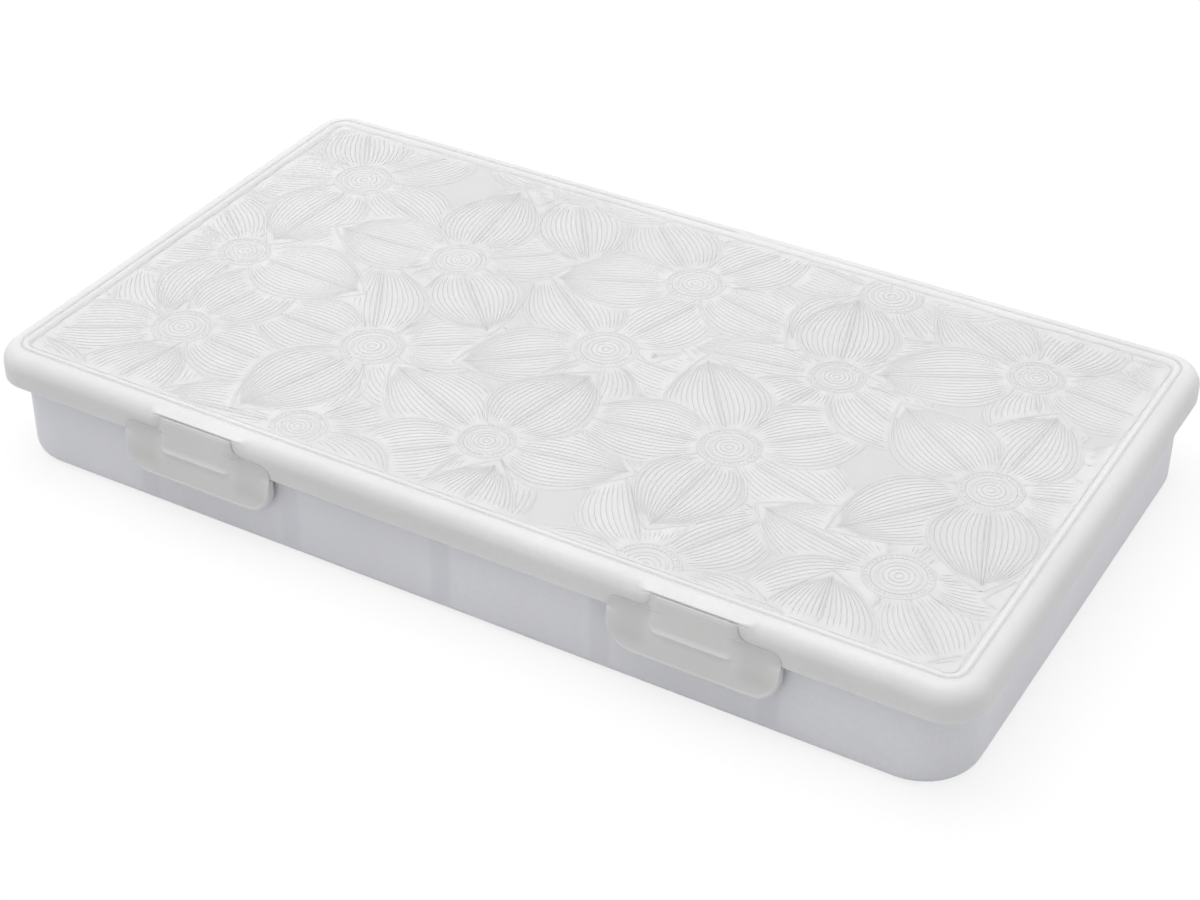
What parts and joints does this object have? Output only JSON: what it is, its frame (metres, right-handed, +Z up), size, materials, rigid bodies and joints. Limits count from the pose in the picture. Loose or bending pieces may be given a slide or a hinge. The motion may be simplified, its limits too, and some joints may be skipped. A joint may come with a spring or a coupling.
{
  "type": "embroidery thread box",
  "caption": "Flat hinged plastic case for embroidery thread, with dividers across the tray, a lid with a sunk panel and two front latch flaps.",
  "frame": {"origin": "middle of the tray's flat underside, midway between the lid's front and back skirts", "axes": "+X along the long side to the right, -Y towards the front with the latches, +Z up out of the lid"},
  "size_m": [0.271, 0.1622, 0.032],
  "materials": {
    "tray": "satin, milky translucent polypropylene with a faint blue cast",
    "lid": "satin, milky translucent polypropylene with a fine embossed panel",
    "latch": "satin, milky translucent polypropylene",
    "divider": "satin, milky translucent polypropylene"
  },
  "bodies": {
    "tray": {"tray": "tray", "divider_1": "divider", "divider_2": "divider", "divider_3": "divider", "divider_4": "divider", "divider_5": "divider"},
    "lid": {"lid": "lid"},
    "latch_left": {"latch_left": "latch"},
    "latch_right": {"latch_right": "latch"}
  },
  "joints": [
    {"name": "lid_hinge", "type": "hinge", "parent": "tray", "child": "lid", "pos_m": [0, 0.0804, 0.0235], "axis": [-1, 0, 0], "range_deg": [0, 180]},
    {"name": "latch_left_hinge", "type": "hinge", "parent": "lid", "child": "latch_left", "pos_m": [-0.069, -0.07765, 0.0309], "axis": [-1, 0, 0], "range_deg": [0, 90]},
    {"name": "latch_right_hinge", "type": "hinge", "parent": "lid", "child": "latch_right", "pos_m": [0.069, -0.07765, 0.0309], "axis": [-1, 0, 0], "range_deg": [0, 90]}
  ]
}
